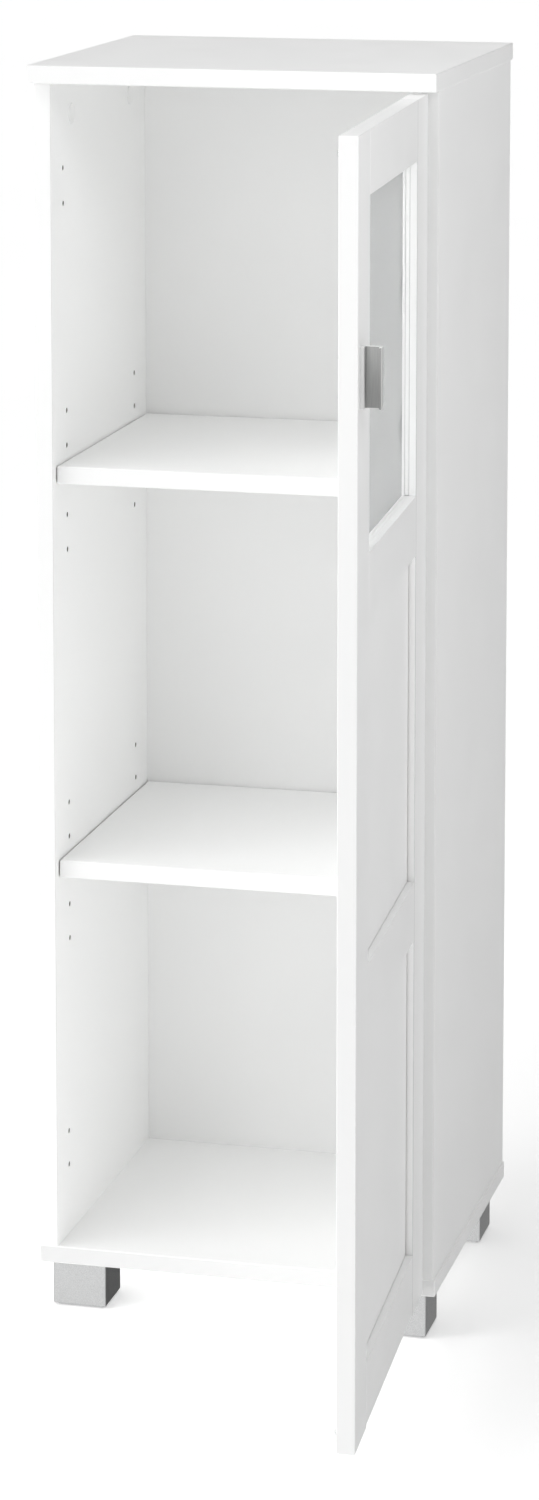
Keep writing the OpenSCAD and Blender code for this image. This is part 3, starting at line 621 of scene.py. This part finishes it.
def set_down(name, pattern, places, node, body, slot, turn=STILL):
    """Sets a copy of the finished pattern down at each place, as one piece that is the node."""
    crease = math.radians(30)
    copies = []
    for place in places:
        copy = bpy.data.objects.new(name, pattern.data.copy())
        bpy.context.collection.objects.link(copy)
        copy.data.transform(turn @ Matrix.Scale(MM, 4) @ place)
        copies.append(copy)
    bpy.data.objects.remove(pattern, do_unlink=True)
    nothing_selected()
    for copy in copies:
        copy.select_set(True)
    piece = bpy.context.view_layer.objects.active = copies[0]
    if len(copies) > 1:
        bpy.ops.object.join()
    piece.name = piece.data.name = name
    take(piece)
    bpy.ops.object.shade_smooth_by_angle(angle=crease)
    piece.data.materials.clear()
    piece.data.materials.append(finishes[slot])
    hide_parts(node)
    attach(piece, body)


# Screws and pins
def cross_bit(radius, depth, top):
    """Tapered cross, the shape that a screwdriver leaves in a screw's head."""
    arm_half, taper, out_of_head = 0.22 * radius, 0.55, 0.5
    arms = []
    for x, y in ((radius, arm_half), (arm_half, radius)):
        arm = block((-x, -y, top - depth), (x, y, top + out_of_head))
        shape(arm, narrow(faces_looking(DOWN), taper))
        arms.append(arm)
    return merge(*arms)


def screw(head_r, head_h, shank_r, shank_long):
    """Screw whose head stands on z = 0 and whose shank runs down from there."""
    dome, tip = 0.6 * head_h, 0.35 * shank_r
    bit_r, bit_deep = 0.62 * head_r, 0.8 * head_h
    piece = rod((0, 0, 0), head_r, head_h)
    shape(
        piece,
        ease(edges_over(head_h), dome, steps=4),
        sink(faces_looking(DOWN), head_r - shank_r, shank_long),
        ease(edges_under(-shank_long), tip, steps=2),
    )
    return carve(piece, cross_bit(bit_r, bit_deep, head_h))


def make_screws():
    """Screws with crosses in their heads. Each of a node's screws has stopped at its own turn."""
    stop = 0.35
    # Node, head's radius and height, shank's radius, the way that the head looks, body, axes
    for node, head_r, head_h, shank_r, out, body, turn in (
        ("plate_screws", 4, 1.8, 2.4, LEFT, "carcass", STILL),
        ("arm_screws", 3.2, 1.5, 1.9, LEFT, "carcass", STILL),
        ("foot_screws", 4, 2.4, 2, DOWN, "carcass", STILL),
        ("cup_screws", 3.2, 1.5, 1.6, REAR, "door", DOOR),
        ("clip_screws", 2.8, 1.3, 1.25, REAR, "door", DOOR),
        ("handle_screws", 3.5, 2, 2, REAR, "door", DOOR),
    ):
        axis = next(k for k in range(3) if out[k])
        places = []
        for low, high in solids(node, turn):
            spot = middle_of((low, high))
            spot[axis] = high[axis] - head_h if out[axis] > 0 else low[axis] + head_h
            shank_long = high[axis] - low[axis] - head_h
            places.append(facing(out, spot, stop * len(places)))
        pattern = screw(head_r, head_h, shank_r, shank_long)
        set_down(node + "_turned", pattern, places, node, body, "screw_steel", turn)


def make_pivots():
    """Pivot pins with their ends riveted over."""
    riveting = 0.4
    for node, body, turn in (("arm_pins", "carcass", STILL), ("cup_pins", "door", DOOR)):
        boxes = solids(node, turn)
        low, high = boxes[0]
        pin = rod((0, 0, 0), (high.x - low.x) / 2, high.z - low.z)
        shape(pin, ease(level, riveting))
        places = [Matrix.Translation((*middle_of(box).xy, box[0].z)) for box in boxes]
        set_down(node + "_riveted", pin, places, node, body, "pivot_steel", turn)


def make_shelf_pins():
    """Steel pins with a flat top, on which a shelf lies, and a groove behind their rounded nose."""
    head_r, hole_r, flat, nose = 3.5, 2.45, 2.5, 8.0
    nose_round, end_round = 0.9, 0.5

    def cut_flat():
        """Step that cuts the pin's upper side away, down to the flat."""
        bpy.ops.mesh.select_all(action="SELECT")
        spot, way = (0, flat, 0), (0, 1, 0)
        bpy.ops.mesh.bisect(plane_co=spot, plane_no=way, use_fill=True, clear_outer=True)

    for node in ("shelf_pins_upper", "shelf_pins_lower"):
        boxes = solids(node)
        long = boxes[0][1].x - boxes[0][0].x
        pin = rod((0, 0, 0), head_r, nose, facets=40)
        shape(
            pin,
            ease(edges_over(nose), nose_round, steps=4),
            sink(faces_looking(DOWN), head_r - hole_r, long - nose),
            ease(edges_under(nose - long), end_round, steps=2),
            cut_flat,
        )
        places = []
        for low, high in boxes:
            side = 1 if low.x < frame_middle else -1
            wall = high.x - nose if side > 0 else low.x + nose
            upwards = Matrix(((0, 0, side, 0), (side, 0, 0, 0), (0, 1, 0, 0), (0, 0, 0, 1)))
            place = Matrix.Translation((wall, (low.y + high.y) / 2, high.z - flat)) @ upwards
            places.append(place)
        set_down(node + "_nosed", pin, places, node, "carcass", "pin_steel")


# Covers, buffers and clips
def make_cam_covers():
    """White caps that press into the cams, slightly dished."""
    cap_r, cap_t, stem_r = 9.5, 1.2, 2.4
    cap_round, rim, slope, dish, stem_round = 0.7, 1.4, 0.5, 0.25, 0.5
    boxes = solids("cam_covers")
    stem_long = boxes[0][1].x - boxes[0][0].x - cap_t
    cap = rod((0, 0, 0), cap_r, cap_t, facets=64)
    shape(
        cap,
        ease(edges_over(cap_t), cap_round, steps=5),
        sink(faces_looking(UP), rim),
        sink(faces_looking(UP), slope, -dish),
        sink(faces_looking(DOWN), cap_r - stem_r, stem_long),
        ease(edges_under(-stem_long), stem_round, steps=2),
    )
    places = []
    for box in boxes:
        low, high = box
        side = 1 if low.x < frame_middle else -1
        wall = high.x - cap_t if side > 0 else low.x + cap_t
        places.append(facing((side, 0, 0), (wall, *middle_of(box).yz)))
    set_down("cam_covers_dished", cap, places, "cam_covers", "carcass", "cover_plastic")


def make_buffers():
    """Soft round buffers that keep the door from knocking."""
    boxes = solids("door_buffers", DOOR)
    low, high = boxes[0]
    radius, rise = (high.x - low.x) / 2, high.y - low.y
    dome = rod((0, 0, 0), radius, rise, facets=40)
    shape(dome, ease(edges_over(rise), 0.75 * rise, steps=6))
    places = []
    for box in boxes:
        middle = middle_of(box)
        places.append(facing(REAR, (middle.x, box[0].y, middle.z)))
    set_down("door_buffers_domed", dome, places, "door_buffers", "door", "buffer_rubber", DOOR)


def make_clips():
    """Nylon clips with rounded corners and a rib at each end, screwed round the glass."""
    reach, long, thick, corner = 15.0, 24.0, 1.2, 3
    rib, rib_h, hole, ledge, hole_r, soft_edge = 1.2, 0.4, 10.0, 3.4, 1.35, 0.18
    places = []
    window = middle_of(solids("door_glass", DOOR)[0])
    for box in solids("glass_clips", DOOR):
        low, high = box
        spot = middle_of(box)
        if high.x - low.x < high.z - low.z:
            side = 1 if spot.x > window.x else -1
            start = Vector((low.x if side > 0 else high.x, low.y, spot.z))
            across, along = Vector((side, 0, 0)), Vector((0, 0, -side))
        else:
            side = 1 if spot.z > window.z else -1
            start = Vector((spot.x, low.y, low.z if side > 0 else high.z))
            across, along = Vector((0, 0, side)), Vector((side, 0, 0))
        turned = Matrix((across, along, Vector(REAR))).transposed().to_4x4()
        places.append(Matrix.Translation(start) @ turned)

    clip = block((0, -long / 2, 0), (reach, long / 2, thick))
    shape(clip, ease(upright, corner, steps=5))
    trough_low = (-PAST, rib - long / 2, thick - rib_h)
    carve(clip, block(trough_low, (hole - ledge, long / 2 - rib, thick + PAST)))
    carve(clip, rod((hole, 0, -PAST), hole_r, thick + 2 * PAST, facets=24))
    soften(clip, soft_edge, steps=2, angle=50)
    set_down("glass_clips_rounded", clip, places, "glass_clips", "door", "clip_plastic", DOOR)


# Feet and handle
def make_feet():
    """Silver feet with rounded corners, on a thinner pad that is set in all round."""
    corner, brim, pad_in, pad_t, pad_corner, pad_brim = 1.6, 1.0, 3.0, 2.2, 2.4, 0.7
    access_r, screw_r, seat_t = 5, 2.05, 10
    for name in ("foot_front_left", "foot_front_right", "foot_rear_left", "foot_rear_right"):
        low, high = solids(name)[0]
        foot = block((low.x, low.y, pad_t), high)
        shape(foot, ease(upright, corner, steps=4), ease(edges_under(pad_t), brim))
        pad_low = (low.x + pad_in, low.y + pad_in, 0)
        pad = block(pad_low, (high.x - pad_in, high.y - pad_in, pad_t + PAST))
        pad_rounding = ease(upright, pad_corner, steps=4), ease(edges_under(0), pad_brim, steps=2)
        shape(pad, *pad_rounding)
        merge(foot, pad)
        for box in solids("foot_screws"):
            x, y = middle_of(box).xy
            if low.x < x < high.x and low.y < y < high.y:
                carve(foot, rod((x, y, -PAST), access_r, high.z - seat_t + PAST))
                carve(foot, rod((x, y, 0), screw_r, high.z + PAST, facets=24))
        set_down(name + "_rounded", foot, [STILL], name, "carcass", "foot_silver")


def make_handle():
    """Aluminium channel, open towards the door's free edge, with small fillets in its corners."""
    wall, fixed_wall, fillet, soft_edge = 2.0, 3.5, 1.1, 0.3
    hole_r, hole_deep, proud = 2.05, 3.2, 0.1
    low, high = solids("door_handle", DOOR)[0]
    handle = block(low, high)
    hollow_low = (low.x - PAST, low.y + wall, low.z - PAST)
    hollow = block(hollow_low, (high.x - wall, high.y - fixed_wall, high.z + PAST))
    end_wall = high.x - wall - NEAR

    def inner_corner(edge):
        """Whether an edge stands where the channel's end wall meets its sides."""
        return upright(edge) and all(end.co.x > end_wall for end in edge.verts)

    shape(hollow, ease(inner_corner, fillet, steps=6))
    carve(handle, hollow)
    for box in solids("handle_screws", DOOR):
        spot = middle_of(box)
        hole = rod((0, 0, 0), hole_r, hole_deep, facets=24)
        hole.data.transform(facing(FRONT, (spot.x, high.y + proud, spot.z)))
        carve(handle, hole)
    soften(handle, soft_edge, steps=3, angle=60)
    name, slot = "door_handle_brushed", "handle_aluminium"
    set_down(name, handle, [STILL], "door_handle", "door", slot, DOOR)


# Panels
def make_panels():
    """Recessed panels, with the fine dark gaps that show where they enter the door's frame."""
    side_gap, end_gap, deep = 1.6, 0.4, 1.6
    left = solids("door_stile_free", DOOR)[0][1].x
    right = solids("door_stile_hinge", DOOR)[0][0].x
    for node, rail_below, rail_above in (
        ("door_panel_middle", "door_rail_middle_lower", "door_rail_middle_upper"),
        ("door_panel_bottom", "door_rail_bottom", "door_rail_middle_lower"),
    ):
        low, high = solids(node, DOOR)[0]
        foot, head = solids(rail_below, DOOR)[0][1].z, solids(rail_above, DOOR)[0][0].z
        ring = block((left, low.y - PAST, foot), (right, low.y + deep, head))
        field_low = (left + side_gap, low.y - 2 * PAST, foot + end_gap)
        carve(ring, block(field_low, (right - side_gap, high.y, head - end_gap)))
        panel = carve(block(low, high), ring)
        set_down(node + "_lined", panel, [STILL], node, "door", "door_panel", DOOR)


# Strips and hinges
def join_triangles():
    """Step that makes a node's loose triangles whole faces again."""
    bpy.ops.mesh.select_all(action="SELECT")
    bpy.ops.mesh.remove_doubles(threshold=0.001)
    bpy.ops.mesh.dissolve_limited(angle_limit=math.radians(1))


def make_strips_and_hinges():
    """Strips in the grooves round the window and the hinges' parts, all with eased edges."""
    for node, width, body, slot in (
        ("glass_strips", 0.7, "door", "door_foil"),
        ("hinge_cups", 0.25, "door", "hinge_steel"),
        ("hinge_arms", 0.3, "carcass", "hinge_steel"),
        ("hinge_links", 0.3, "links", "hinge_steel"),
        ("hinge_plates", 0.5, "carcass", "hinge_steel"),
    ):
        name = node + "_rounded"
        copy = bpy.data.objects.new(name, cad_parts[node].data.copy())
        bpy.context.collection.objects.link(copy)
        copy.data.transform(Matrix.Scale(1 / MM, 4))
        shape(copy, join_triangles)
        soften(copy, width, steps=3, angle=40)
        set_down(name, copy, [STILL], node, body, slot)


set_up_camera()
set_up_light()
lay_floor()
# The middle between the cabinet's left and right
frame_middle = middle_of(solids("back_panel")[0]).x
finishes = make_finishes()
# A node that has a finish under its own name takes that, and the others take their slot's
for name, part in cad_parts.items():
    for held in part.material_slots:
        held.material = finishes.get(name, finishes[held.material.name])

make_screws()
make_pivots()
make_shelf_pins()
make_cam_covers()
make_buffers()
make_clips()
make_feet()
make_handle()
make_panels()
make_strips_and_hinges()
